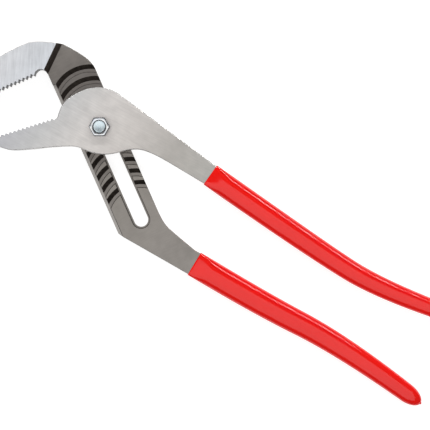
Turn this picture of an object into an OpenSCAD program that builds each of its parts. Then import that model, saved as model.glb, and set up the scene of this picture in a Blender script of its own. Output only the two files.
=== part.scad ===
// Tongue and groove pliers, lying flat with the nut up.
// The slotted member carries the upper jaw, eleven curved grooves and the lower handle.
// The tongued member lies on top of it and carries the lower jaw, the tongue and the upper handle.
// A bolt through the slot holds the two together, and both handles are dipped in vinyl.
// X runs towards the handles, Z is the bolt's axis, and Z = 0 is the outer face of the bolt's head.
// The slot leans down from X by slot_angle: s is measured along it and t across it, from the bolt.

/* [Joint] */
// Thickness of each member at the joint
plate_t = 7.1; // [6:0.1:8.6]
// Gap between the two mating faces
mating_gap = 0.15; // [0.1:0.05:0.3]
// Distance from one groove to the next
pitch = 10; // [8.4:0.1:12]
// Number of grooves
groove_count = 11; // [8:1:11]
// Depth of the grooves
groove_depth = 2.4; // [1.8:0.1:3]
// Depth of the steps along the slot and along the left edge, more than the grooves'
step_depth = 2.6; // [2.5:0.1:3.2]
// Radius of the top of a groove's load wall
groove_r = 25.4; // [23.5:0.1:27]
// Width of a groove's floor and load wall together
groove_floor = 3; // [2.4:0.1:3.6]
// Width of a groove's sloping wall
groove_slope = 3.4; // [2.8:0.1:4]
// How far a groove's load wall leans over its depth
groove_lean = 0.6; // [0.4:0.1:0.9]
// Play of the tongue in a groove
tongue_play = 0.3; // [0.2:0.05:0.4]
// Angle of the slot below the handles
slot_angle = 30; // [25:1:36]
// Play of the bolt across the slot
slot_play = 1.8; // [1.5:0.1:2.4]
// Width of the step round the slot
slot_step = 1.7; // [1.2:0.1:2.2]
// Distance from the slot's middle to the right edge of its rails
rail_right = 15; // [14:0.1:18]
// Distance from the slot's middle to the left edge of its rails
rail_left = 21; // [19.5:0.1:25.2]
// Width of the lowered strip along the left edge
edge_step = 2.8; // [2:0.1:3.6]
// How far the walls of both steps lean over their depth
step_lean = 0.5; // [0.3:0.1:0.8]

/* [Bolt and nut] */
// Diameter of the pivot bolt
bolt_d = 9.5; // [7.9:0.1:11.4]
// Radial play of the tongued member on the bolt
bolt_play = 0.06; // [0.03:0.01:0.1]
// Diameter of the bolt's head
head_d = 20; // [18:0.5:24]
// Height of the bolt's head
head_h = 5; // [4:0.1:6]
// Width of the nut across its flats
nut_w = 14.3; // [13:0.1:17.2]
// Height of the nut
nut_h = 8.2; // [6:0.1:10]
// Length of bolt that stands out of the nut
bolt_out = 1.6; // [1.3:0.1:3]
// Gap between the bolt's thread and the nut
thread_fit = 0.05; // [0.02:0.01:0.1]

/* [Jaws] */
// Length of the row of teeth on the upper jaw
upper_row = 57; // [47:1:69]
// Length of the row of teeth on the lower jaw
lower_row = 51.5; // [43:0.5:62]
// Distance from the bolt to the upper jaw's teeth, along the slot
jaw_gap = 58.2; // [56:0.1:70]
// Height of a tooth
tooth_h = 2; // [1.2:0.1:2.4]
// Distance from one tooth to the next
tooth_pitch = 3.45; // [2.9:0.05:4.1]
// Distance from the rails' left edge to the upper jaw's first tooth
upper_throat = 7.5; // [6.5:0.1:9]
// Distance from the rails' left edge to the lower jaw's first tooth
lower_throat = 12; // [11.5:0.1:13]
// Angle of the lower jaw's teeth from the upper jaw's
jaw_angle = 6; // [3:0.5:8]
// Distance from the bolt to the first tooth of the lower jaw, along the slot
lower_rise = 21.7; // [20:0.1:23]
// Radius of the round head of the tongued member
head_r = 30.8; // [30.4:0.1:33]

/* [Handles] */
// Length from the bolt to the end of the upper handle
upper_l = 332; // [277:1:398]
// Length from the bolt to the end of the lower handle
lower_l = 335; // [279:0.5:402]
// Thickness of each steel handle
handle_t = 9; // [8.2:0.1:10]
// Distance from the bolt to the upper handle's outer edge
upper_edge = 30.2; // [29.6:0.1:32]

/* [Grips] */
// Distance from the bolt to the mouth of the upper grip
upper_mouth = 92.5; // [84:0.5:100]
// Distance from the bolt to the mouth of the lower grip
lower_mouth = 123.8; // [118:0.5:130]
// Thickness of the vinyl along the grip
vinyl_t = 1.7; // [1.4:0.1:2.2]
// Thickness of the vinyl at the mouth
vinyl_lip = 0.8; // [0.7:0.05:1.2]
// Gap left between the steel and the vinyl
grip_fit = 0.05; // [0.02:0.01:0.1]

/* [Hidden] */

$fn = 96;
// How far a cutting tool reaches past the face it cuts
over = 1;
// How far a tool reaches where it takes in everything on one side
reach = 500;
// The same for a groove, whose sides spread as it rises
cut_over = 0.2;
// Number of straight steps in each bend of an outline
bend_steps = 8;
// The same along a handle, and along the grip and the steel inside it
line_steps = 16;
grip_steps = 16;
core_steps = 12;

// Heights of the faces, from the bolt's head up
head_play = 0.1;
back_z = head_h + head_play;
mate_z = back_z + plate_t;
face_z = mate_z + mating_gap;
front_z = face_z + plate_t;
nut_z = front_z + head_play;
bolt_top = nut_z + nut_h + bolt_out;
bolt_chamfer = 0.5;
head_chamfer = 1.4;
// The nut's flats are turned this far from X, and its chamfer starts this far outside them
nut_turn = slot_angle + 6;
nut_round = 0.85;

// Groove that the tongue lies in, counted from the jaw, the first being 0
groove_in_use = 2;
// The slot runs from the first setting to the last, with a little over
bolt_r = bolt_d / 2;
slot_w = bolt_d + slot_play;
slot_over = 0.6;
first_s = -groove_in_use * pitch;
last_s = (groove_count - 1 - groove_in_use) * pitch;
slot_top = first_s - bolt_r - slot_over;
slot_end = last_s + bolt_r + slot_over;
// The lowered strip starts inside the first groove and runs out past the heel
groove_out = groove_r + groove_floor + groove_slope;
strip_from = first_s - groove_out + 6;
strip_to = slot_end + 26;

// Each groove covers this angle before its ends are cut off
groove_sweep = 120;
// The tongue covers these angles, counted from the jaw end of the slot
tongue_from = -16;
tongue_to = 33;

// Direction of each jaw's shoulder before the slot's lean, and how far its wall leans
upper_shoulder = 131;
lower_shoulder = 167;
shoulder_lean = 4.6;
// The hidden side of the upper handle thickens over this way, from the bolt
upper_ramp = [46, 56];
// The lower handle's front thickens over this way, back from its grip's mouth
lower_ramp = [26, 5];

// Vectors and curves
function polar(r, a) = r * [cos(a), sin(a)];
function mix(a, b, k) = a + (b - a) * k;
function bend(a, b, c, k) = mix(mix(a, b, k), mix(b, c, k), k);
function arc(c, r, from, to, n = 2 * bend_steps) = [for (i = [0:n]) c + polar(r, mix(from, to, i / n))];
// A smooth curve from the first point to the last, drawn towards each point between
function curve(p, n = bend_steps) =
    let (m = len(p) - 1)
    concat([p[0]], [for (i = [1:m - 1], j = [1:n])
        bend(i == 1 ? p[0] : mix(p[i - 1], p[i], 0.5),
             p[i],
             i == m - 1 ? p[m] : mix(p[i], p[i + 1], 0.5),
             j / n)]);
// Distance run along a line of points, at each point
function runs(p, i = 0, d = 0) =
    i == len(p) - 1 ? [d] : concat([d], runs(p, i + 1, d + norm(p[i + 1] - p[i])));
// Place and heading at distance d along a line of points
function place(p, run, d) =
    let (i = max([for (k = [0:len(p) - 2]) if (k == 0 || run[k] <= d) k]),
         step = p[i + 1] - p[i])
    [mix(p[i], p[i + 1], (d - run[i]) / (run[i + 1] - run[i])), atan2(step[1], step[0])];

// The slot's own directions, seen from the bolt
along_slot = polar(1, -slot_angle);
across_slot = polar(1, 90 - slot_angle);
function at_slot(s, t) = s * along_slot + t * across_slot;

// The lower jaw's own directions: a runs from its first tooth to its tip, d into the jaw
lower_start = at_slot(-lower_rise, -rail_left - lower_throat);
to_tip = polar(1, 270 - slot_angle - jaw_angle);
into_jaw = polar(1, -slot_angle - jaw_angle);
function at_jaw(a, d) = lower_start + a * to_tip + d * into_jaw;

// A row of teeth along a line, as points from its start to its end
function teeth(start, along, into, row) =
    [for (i = [0:floor(row / tooth_pitch) - 1], tip = [0, 1])
        start + (i + 0.5 * tip + 0.25) * tooth_pitch * along + (1 - tip) * tooth_h * into];
function reversed(p) = [for (i = [len(p) - 1:-1:0]) p[i]];

// Middle lines of the two handles, which start this far from the bolt, inside the visible steel
upper_from = 60;
lower_from = 100;
upper_line = curve([[upper_from, 20.4], [upper_l - 142, 22.6], [upper_l - 70, 28], [upper_l, 50.5]],
                   line_steps);
lower_line = curve([[lower_from, -45.2], [lower_l - 160, -39.1], [lower_l - 73, -25.2], [lower_l, -26.6]],
                   line_steps);
// Distance of each grip's mouth along its handle's line
upper_run = upper_mouth - upper_from;
lower_run = lower_mouth - lower_from;

// Sizes of a grip: width and thickness near the mouth, width and thickness near the end
upper_size = [18.9, 13.2, 12.4, 11.2];
lower_size = [20.8, 13.6, 14.2, 11.6];
// Width of the steel where it enters each grip
upper_steel_w = 16.9;
lower_steel_w = 19;
// Middle heights of the two handles
upper_z = front_z - handle_t / 2;
lower_z = back_z + handle_t / 2;

// Length over which the vinyl thickens and the steel inside thins
lip_l = 16;
// Length over which a grip's end is rounded, and the steel's distance from that end
end_l = 14;
core_end = 14;
// Thickness of the steel deep inside a grip
core_t = handle_t - 2;
// Vinyl at the sides of the steel deep inside, as a share of vinyl_t
side_share = 1.35;
// A grip's section is squarest at the mouth: these are its powers there and further on
mouth_power = 9;
grip_power = 2.7;
grip_sides = 28;
// Share of a grip's end that is left flat
end_flat = 0.02;
// Share of the way from the mouth's shape to the grip's own shape
function swell(d) = sin(90 * min(1, max(0, d / lip_l)));
// Share of the way from its width near the mouth to that near the end, late in its length
function taper(d, length) = pow(max(0, d) / length, 2);
// Half width of the steel inside a grip, at distance d from the mouth
function core_half(size, steel_w, length, d) =
    mix(steel_w / 2, mix(size[0], size[2], taper(d, length)) / 2 - side_share * vinyl_t, swell(d));

// Outline of the steel inside a grip, from just outside the mouth to near the grip's end
module core_outline(line, mouth, size, steel_w, extra) {
    run = runs(line);
    length = run[len(run) - 1] - mouth;
    stations = concat([for (k = [-0.125, 0, 0.25, 0.5, 0.75]) k * lip_l],
                      [for (i = [1:core_steps]) mix(lip_l, length - core_end, i / core_steps)]);
    spots = [for (d = stations) place(line, run, mouth + d)];
    halves = [for (d = stations) core_half(size, steel_w, length, d) + extra];
    polygon(concat(
        [for (i = [0:len(spots) - 1]) spots[i][0] + polar(halves[i], spots[i][1] + 90)],
        [spots[len(spots) - 1][0] + polar(extra, spots[len(spots) - 1][1])],
        [for (i = [len(spots) - 1:-1:0]) spots[i][0] + polar(halves[i], spots[i][1] - 90)]));
}

// Steel inside a grip, as a solid; extra makes it larger all round, for the grip's hollow
module core(line, mouth, size, steel_w, mid_z, extra = 0) {
    run = runs(line);
    mouth_x = place(line, run, mouth)[0][0];
    thick = handle_t / 2 + extra;
    thin = core_t / 2 + extra;
    intersection() {
        translate([0, 0, mid_z - thick])
            linear_extrude(2 * thick)
                core_outline(line, mouth, size, steel_w, extra);
        translate([0, reach, mid_z])
            rotate([90, 0, 0])
                linear_extrude(2 * reach)
                    polygon([[mouth_x - lip_l, -thick], [mouth_x, -thick], [mouth_x + lip_l, -thin],
                             [mouth_x + reach, -thin], [mouth_x + reach, thin], [mouth_x + lip_l, thin],
                             [mouth_x, thick], [mouth_x - lip_l, thick]]);
    }
}

// Vinyl skin of a grip: rounded sections carried along the handle's middle line
module skin(line, mouth, size, steel_w, mid_z) {
    run = runs(line);
    length = run[len(run) - 1] - mouth;
    stations = concat([for (i = [0:5]) lip_l * i / 6],
                      [for (i = [0:grip_steps]) mix(lip_l, length - end_l, i / grip_steps)],
                      [for (a = [15:15:75]) length - end_l + end_l * sin(a)],
                      [length - end_flat * end_l]);
    function rounding(d) = sqrt(1 - pow(max(0, (d - length + end_l) / end_l), 2));
    function half(d, steel, near, far) =
        rounding(d) * mix(steel / 2 + vinyl_lip, mix(near, far, taper(d, length)) / 2, swell(d));
    function half_w(d) = half(d, steel_w, size[0], size[2]);
    function half_t(d) = half(d, handle_t, size[1], size[3]);
    function power(d) = 2 / mix(mouth_power, grip_power, swell(d));
    function signed(x, p) = sign(x) * pow(abs(x), p);
    function ring(d) =
        let (spot = place(line, run, mouth + d), side = polar(half_w(d), spot[1] + 90))
        [for (k = [0:grip_sides - 1]) let (a = 360 * (k + 0.5) / grip_sides)
            concat(spot[0] + side * signed(cos(a), power(d)), mid_z + half_t(d) * signed(sin(a), power(d)))];
    rings = len(stations);
    polyhedron(
        points = [for (d = stations) each ring(d)],
        faces = concat(
            [[for (k = [0:grip_sides - 1]) k]],
            [for (i = [0:rings - 2], k = [0:grip_sides - 1], first = [true, false])
                let (a = i * grip_sides + k, b = i * grip_sides + (k + 1) % grip_sides)
                first ? [a, a + grip_sides, b] : [b, a + grip_sides, b + grip_sides]],
            [[for (k = [grip_sides - 1:-1:0]) (rings - 1) * grip_sides + k]]));
}

// Side wall of a shoulder: everything beyond a slanting line, from level low up to level high
module beyond(point, heading, lean, low, high) {
    translate([point[0], point[1], 0])
        rotate([0, 0, heading])
            rotate([90, 0, 90])
                translate([0, 0, -reach])
                    linear_extrude(2 * reach)
                        polygon([[0, low], [reach, low], [reach, high], [lean, high]]);
}

// Everything between two levels
module slab(low, high) {
    translate([-reach, -reach, low])
        cube([2 * reach, 2 * reach, high - low]);
}

// Outline of the slotted member: upper jaw, neck with its rails, and the visible lower handle
module slotted_outline() {
    first_tooth = at_slot(-jaw_gap, -rail_left - upper_throat);
    jaw_tip = -rail_left - upper_throat - upper_row;
    foot = at_slot(slot_end - 2.6, -rail_left);
    mouth = place(lower_line, runs(lower_line), lower_run);
    low_edge = mouth[0] + polar(lower_steel_w / 2, mouth[1] - 90);
    high_edge = mouth[0] + polar(lower_steel_w / 2, mouth[1] + 90);
    polygon(concat(
        // Throat and left edge of the rails
        [for (p = [[-2.9, -6.4], [-3.1, -4.4], [-2.2, -2.3], [0.2, -0.5], [3, 0]])
            at_slot(p[0] - jaw_gap, p[1] - rail_left)],
        // Heel below the slot and outer edge of the handle
        [foot, at_slot(slot_end + 1.4, 2.6 - rail_left), low_edge, high_edge],
        // Inner edge of the handle, sweeping up into the right edge of the rails
        reversed(curve([at_slot(slot_end - 8, rail_right), at_slot(slot_end + 4, rail_right - 0.2),
                        at_slot(slot_end + 17, rail_right + 5.8), high_edge - [5, 0.6]])),
        // Right edge of the neck and back of the jaw
        curve([at_slot(13.2 - jaw_gap, rail_right), at_slot(9.2 - jaw_gap, rail_right),
               at_slot(-jaw_gap - 1.8, rail_right - 5.2), at_slot(-jaw_gap - 14.1, 0)]),
        curve([at_slot(-jaw_gap - 16.4, -4.7), at_slot(-jaw_gap - 25.5, -19), at_slot(-jaw_gap - 26, -34),
               at_slot(-jaw_gap - 24.4, 30 + jaw_tip), at_slot(-jaw_gap - 12.5, 9.5 + jaw_tip),
               at_slot(-jaw_gap - 1.6, -1 + jaw_tip)]),
        // Teeth, from the tip back to the throat
        [at_slot(-jaw_gap + 0.2, 0.6 + jaw_tip)],
        reversed(teeth(first_tooth, -across_slot, -along_slot, upper_row))));
}

// Section of a groove up to level top, with its steep load wall nearer the bolt.
// The tongue's goes on from there, straight up into the plate, as its root.
module groove_section(play, top, root = 0) {
    rise = 1 + top / groove_depth;
    low_r = groove_r + groove_lean + play;
    high_r = groove_r + groove_floor - play;
    load_r = low_r - groove_lean * rise;
    slope_r = high_r + groove_slope * rise;
    polygon(concat(
        [[load_r, top], [low_r, play - groove_depth], [high_r, play - groove_depth], [slope_r, top]],
        root > 0 ? [[slope_r, top + root], [load_r, top + root]] : []));
}

// A curved groove round the bolt's place s, from the edge step to just past the right edge
module groove(s) {
    rotate([0, 0, -slot_angle])
        intersection() {
            translate([s, 0, mate_z])
                rotate([0, 0, 180 - groove_sweep / 2])
                    rotate_extrude(angle = groove_sweep)
                        groove_section(0, cut_over);
            translate([s - groove_out - over, edge_step / 2 - rail_left, mate_z - 2 * groove_depth])
                cube([groove_out + over, rail_left - edge_step / 2 + rail_right + over, 4 * groove_depth]);
        }
}

// A slot-shaped outline round the line that the bolt travels
module slot_outline(from, to, w) {
    rotate([0, 0, -slot_angle]) {
        translate([from + slot_w / 2, 0])
            circle(w / 2);
        translate([to - slot_w / 2, 0])
            circle(w / 2);
        translate([from + slot_w / 2, -w / 2])
            square([to - from - slot_w, w]);
    }
}

// Step round the slot, with leaning walls: a cone at each end and a straight run between
module slot_step_cut() {
    low_r = slot_w / 2 + slot_step - step_lean;
    high_r = low_r + step_lean * (1 + cut_over / step_depth);
    rotate([0, 0, -slot_angle])
        translate([0, 0, mate_z - step_depth]) {
            for (s = [slot_top + slot_w / 2, slot_end - slot_w / 2])
                translate([s, 0, 0])
                    cylinder(step_depth + cut_over, r1 = low_r, r2 = high_r);
            translate([slot_top + slot_w / 2, 0, 0])
                rotate([90, 0, 90])
                    linear_extrude(slot_end - slot_top - slot_w)
                        polygon([[-low_r, 0], [low_r, 0], [high_r, step_depth + cut_over],
                                 [-high_r, step_depth + cut_over]]);
        }
}

// Lowered strip along the left edge, from the first groove to the heel
module edge_step_cut() {
    rotate([0, 0, -slot_angle])
        translate([strip_from, -rail_left, mate_z])
            rotate([90, 0, 90])
                linear_extrude(strip_to - strip_from)
                    polygon([[-over, -step_depth], [edge_step - step_lean, -step_depth],
                             [edge_step + step_lean * cut_over / step_depth, cut_over], [-over, cut_over]]);
}

// The front of the lower handle rises to its full thickness before the grip
module lower_handle_ramp() {
    translate([0, reach, 0])
        rotate([90, 0, 0])
            linear_extrude(2 * reach)
                polygon([[lower_mouth - lower_ramp[0], mate_z - over], [reach, mate_z - over],
                         [reach, back_z + handle_t], [lower_mouth - lower_ramp[1], back_z + handle_t],
                         [lower_mouth - lower_ramp[0], mate_z]]);
}

module slotted_member() color("#8b857f") {
    difference() {
        intersection() {
            translate([0, 0, back_z])
                linear_extrude(front_z - back_z)
                    slotted_outline();
            union() {
                slab(back_z - over, mate_z);
                lower_handle_ramp();
                // The jaw keeps its full thickness beyond a slanting shoulder
                beyond(at_slot(2.4 - jaw_gap, 1.2 - rail_left), upper_shoulder - slot_angle, shoulder_lean,
                       mate_z - over, front_z + over);
            }
        }
        translate([0, 0, back_z - over])
            linear_extrude(plate_t + 2 * over)
                slot_outline(slot_top, slot_end, slot_w);
        slot_step_cut();
        for (i = [0:groove_count - 1])
            groove(first_s + i * pitch);
        edge_step_cut();
    }
    core(lower_line, lower_run, lower_size, lower_steel_w, lower_z);
}

// Outline of the tongued member: lower jaw, round head and the visible upper handle
module tongued_outline() {
    head_c = [-1.8, upper_edge - head_r];
    mouth = place(upper_line, runs(upper_line), upper_run);
    low_edge = mouth[0] + polar(upper_steel_w / 2, mouth[1] - 90);
    high_edge = mouth[0] + polar(upper_steel_w / 2, mouth[1] + 90);
    polygon(concat(
        // Outer edge of the handle and the round head
        [high_edge],
        arc(head_c, head_r, 90, 145),
        curve([head_c + polar(head_r, 150), head_c + [-31.4, 7.8], head_c + [-33.2, -4.4], at_jaw(-5.5, 0.6)]),
        // Teeth, from one at the heel of the jaw
        teeth(at_jaw(-tooth_pitch, 0), to_tip, into_jaw, lower_row + tooth_pitch),
        // Tip and back of the jaw, the underside of the head, and the handle's inner edge
        curve([at_jaw(lower_row + 0.5, 0.2), at_jaw(lower_row + 0.3, 2.8), at_jaw(lower_row - 7, 9.6),
               at_jaw(lower_row - 14, 14.2), at_jaw(lower_row - 26, 17.4), at_jaw(6, 21.6), at_jaw(-5, 24.4),
               [-5, -22.6], [8, -20], [19.5, -13], [32, 3.4], [47, 8.2], [68, 10.4], low_edge])));
}

module tongued_member() color("#c9c5c1") {
    difference() {
        union() {
            intersection() {
                translate([0, 0, back_z])
                    linear_extrude(front_z - back_z)
                        tongued_outline();
                union() {
                    slab(face_z, front_z + over);
                    // The jaw keeps its full thickness beyond its own shoulder, clear of the rails
                    beyond(at_jaw(11, 0), lower_shoulder - slot_angle - jaw_angle, -shoulder_lean,
                           back_z - over, face_z + over);
                    // The handle thickens once it is clear of the rails
                    upper_handle_ramp();
                }
            }
            tongue();
        }
        translate([0, 0, face_z - groove_depth - over])
            cylinder(plate_t + groove_depth + 2 * over, d = bolt_d + 2 * bolt_play);
    }
    core(upper_line, upper_run, upper_size, upper_steel_w, upper_z);
}

module upper_handle_ramp() {
    translate([0, reach, 0])
        rotate([90, 0, 0])
            linear_extrude(2 * reach)
                polygon([[upper_ramp[0], face_z], [upper_ramp[1], front_z - handle_t],
                         [reach, front_z - handle_t], [reach, face_z + over],
                         [upper_ramp[0], face_z + over]]);
}

// Curved rib that drops into a groove, nowhere wider than the plate that it hangs from
module tongue() {
    intersection() {
        translate([0, 0, mate_z])
            rotate([0, 0, 180 - slot_angle + tongue_from])
                rotate_extrude(angle = tongue_to - tongue_from)
                    groove_section(tongue_play, mating_gap, cut_over);
        translate([0, 0, mate_z - groove_depth])
            linear_extrude(groove_depth + plate_t)
                tongued_outline();
    }
}

module pivot_bolt() color("#c3ccd0") {
    rotate_extrude()
        polygon([[0, 0], [head_d / 2 - head_chamfer, 0], [head_d / 2, head_chamfer], [head_d / 2, head_h],
                 [bolt_r, head_h], [bolt_r, bolt_top - bolt_chamfer], [bolt_r - bolt_chamfer, bolt_top],
                 [0, bolt_top]]);
}

module pivot_nut() color("#cfd6d9") {
    low_r = nut_w / 2 + nut_h + nut_round;
    cone_h = nut_h + nut_w / 4;
    difference() {
        intersection() {
            translate([0, 0, nut_z])
                rotate([0, 0, nut_turn])
                    cylinder(nut_h, d = nut_w / cos(30), $fn = 6);
            // Chamfered corners at the top of the nut
            translate([0, 0, nut_z])
                cylinder(cone_h, r1 = low_r, r2 = low_r - cone_h);
        }
        translate([0, 0, nut_z - over])
            cylinder(nut_h + 2 * over, d = bolt_d + 2 * thread_fit);
    }
}

module upper_grip() color("#e8130c") {
    difference() {
        skin(upper_line, upper_run, upper_size, upper_steel_w, upper_z);
        core(upper_line, upper_run, upper_size, upper_steel_w, upper_z, grip_fit);
    }
}

module lower_grip() color("#e8130c") {
    difference() {
        skin(lower_line, lower_run, lower_size, lower_steel_w, lower_z);
        core(lower_line, lower_run, lower_size, lower_steel_w, lower_z, grip_fit);
    }
}

slotted_member();
tongued_member();
pivot_bolt();
pivot_nut();
upper_grip();
lower_grip();
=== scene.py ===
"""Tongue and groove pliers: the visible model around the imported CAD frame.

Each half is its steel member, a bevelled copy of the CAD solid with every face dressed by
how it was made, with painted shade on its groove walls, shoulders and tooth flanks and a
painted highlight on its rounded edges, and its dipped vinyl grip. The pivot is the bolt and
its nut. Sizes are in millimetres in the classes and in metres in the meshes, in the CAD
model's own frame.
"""

import logging
import math
from dataclasses import dataclass
from enum import Enum, IntEnum

import bmesh
import bpy
import numpy as np
from bpy.types import Material, Mesh, Node, NodeSocket, NodeTree, Object
from mathutils import Matrix, Vector


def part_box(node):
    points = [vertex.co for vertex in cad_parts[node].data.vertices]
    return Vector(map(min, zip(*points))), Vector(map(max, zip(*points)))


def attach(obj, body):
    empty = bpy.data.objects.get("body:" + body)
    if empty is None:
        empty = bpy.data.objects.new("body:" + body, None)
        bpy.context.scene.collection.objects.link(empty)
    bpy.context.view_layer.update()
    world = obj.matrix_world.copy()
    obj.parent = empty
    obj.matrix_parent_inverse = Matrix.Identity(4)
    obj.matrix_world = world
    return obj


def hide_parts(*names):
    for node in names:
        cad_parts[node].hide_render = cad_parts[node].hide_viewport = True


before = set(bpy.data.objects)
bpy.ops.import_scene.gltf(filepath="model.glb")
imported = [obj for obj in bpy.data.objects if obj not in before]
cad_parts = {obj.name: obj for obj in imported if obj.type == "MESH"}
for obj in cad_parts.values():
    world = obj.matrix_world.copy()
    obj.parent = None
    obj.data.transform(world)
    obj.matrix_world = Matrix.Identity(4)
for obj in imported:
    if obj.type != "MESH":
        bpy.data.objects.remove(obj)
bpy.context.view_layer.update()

LOG = logging.getLogger("pliers")
MM = 0.001

# Lean of the slot below X, which the slotted member's own directions follow, in degrees
SLOT_ANGLE = 30.0
# A wall's normal rises less than this, and a level face's normal more than that
WALL_RISE, LEVEL_RISE = 0.1, 0.97
# Depth of the finest scratches and pits on any finish, in mm
FINE_RELIEF = 0.05
# Points of a CAD mesh that are this close are one, in mm; it is far below its tolerance
WELD = 0.0005
# Faces that turn by less than this, in degrees, are one; edges shorter than this, in mm, go
FLAT_TURN, SHORTEST_EDGE = 0.4, 0.06


class Body(Enum):
    """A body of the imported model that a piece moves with."""

    SLOTTED = "slotted_half"
    PIVOT = "pivot"
    TONGUED = "tongued_half"


class Slot(Enum):
    """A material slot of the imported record."""

    SLOTTED_STEEL = "slotted_steel"
    TONGUED_STEEL = "tongued_steel"
    PLATED_STEEL = "plated_steel"
    RED_VINYL = "red_vinyl"


def linear(colour: str) -> tuple[float, float, float, float]:
    """Turns an sRGB hex colour to linear light.

    Args:
        colour: Six hex digits after a hash.

    Returns:
        Red, green, blue and an alpha of 1.
    """
    parts = np.array([int(colour[i:i + 2], 16) for i in (1, 3, 5)]) / 255
    light = np.where(parts <= 0.04045, parts / 12.92, ((parts + 0.055) / 1.055) ** 2.4)
    return (*map(float, light), 1.0)


def add_node(tree: NodeTree, kind: str, inputs: dict[str | int, object] | None = None,
             **settings: object) -> Node:
    """Adds a node with its settings, and sets or links its inputs.

    Args:
        tree: The node tree.
        kind: Blender's name of the node's type.
        inputs: Values or output sockets, by the input's name or number.
        **settings: Properties of the node itself.

    Returns:
        The new node.
    """
    made = tree.nodes.new(kind)
    for name, value in settings.items():
        setattr(made, name, value)
    for key, value in (inputs or {}).items():
        if isinstance(value, NodeSocket):
            tree.links.new(value, made.inputs[key])
        else:
            made.inputs[key].default_value = value
    return made


def turned_place(tree: NodeTree, angle: float) -> NodeSocket:
    """Gives the object's own coordinates in axes turned about Z.

    Args:
        tree: The node tree.
        angle: Angle of the first axis from the object's X, in degrees.

    Returns:
        The coordinates, in metres.
    """
    place = add_node(tree, "ShaderNodeTexCoord").outputs["Object"]
    return add_node(tree, "ShaderNodeMapping",
                    {"Vector": place, "Rotation": (0.0, 0.0, -math.radians(angle))}).outputs[0]


class Grain:
    """A noise in the object's own coordinates, and the ranges that it is spread over."""

    def __init__(self, tree: NodeTree, size: tuple[float, float, float],
                 turn: float = 0.0, detail: float = 3.0) -> None:
        """Adds the noise.

        Args:
            tree: The node tree.
            size: Length of the grain along its own X, Y and Z, in mm.
            turn: Angle of the grain's X from the object's X, in degrees.
            detail: Octaves of finer noise in it.
        """
        self.tree = tree
        scaled = add_node(tree, "ShaderNodeMapping",
                          {"Vector": turned_place(tree, turn),
                           "Scale": tuple(1 / (s * MM) for s in size)})
        self.height = add_node(tree, "ShaderNodeTexNoise",
                               {"Vector": scaled.outputs[0], "Scale": 1.0,
                                "Detail": detail}).outputs[0]

    def between(self, low: float, high: float) -> NodeSocket:
        """Spreads the noise, which keeps mostly between 0.3 and 0.7, over a range.

        Args:
            low: Result where the noise is low.
            high: Result where the noise is high.

        Returns:
            The output socket.
        """
        return add_node(self.tree, "ShaderNodeMapRange",
                        {"Value": self.height, "From Min": 0.3, "From Max": 0.7,
                         "To Min": low, "To Max": high}).outputs[0]

    def around(self, middle: float, swing: float) -> NodeSocket:
        """Spreads the noise evenly to both sides of a value."""
        return self.between(middle - swing, middle + swing)

    def mottled(self, one: str, two: str) -> NodeSocket:
        """Runs from one colour to another with the noise.

        Args:
            one: The colour where the noise is low.
            two: The colour where it is high.

        Returns:
            The colour.
        """
        return add_node(self.tree, "ShaderNodeMix",
                        {0: self.between(0.0, 1.0), 6: linear(one), 7: linear(two)},
                        data_type="RGBA").outputs[2]

    def relief(self, strength: float, depth: float = FINE_RELIEF,
               under: NodeSocket | None = None) -> NodeSocket:
        """Dents the surface with the noise.

        Args:
            strength: How much of the depth shows, from 0 to 1.
            depth: Height from the noise's low to its high, in mm.
            under: The relief that this one lies on, if any.

        Returns:
            The dented normal.
        """
        inputs = {"Height": self.height, "Strength": strength, "Distance": depth * MM}
        if under:
            inputs["Normal"] = under
        return add_node(self.tree, "ShaderNodeBump", inputs).outputs[0]


@dataclass(frozen=True)
class Finish:
    """A finish of the real object, under a maker's name for it."""

    name: str

    def inputs(self, tree: NodeTree) -> dict[str, object]:
        """Works out the Principled shader's inputs. Each finish has its own."""
        raise NotImplementedError

    def material(self) -> Material:
        """Builds the finish as a node material, the first time that it is asked for.

        Returns:
            The material.
        """
        made = bpy.data.materials.get(self.name)
        if made:
            return made
        made = bpy.data.materials.new(self.name)
        made.use_nodes = True
        tree = made.node_tree
        tree.nodes.clear()
        shader = add_node(tree, "ShaderNodeBsdfPrincipled", self.inputs(tree))
        add_node(tree, "ShaderNodeOutputMaterial", {"Surface": shader.outputs[0]})
        return made


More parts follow.
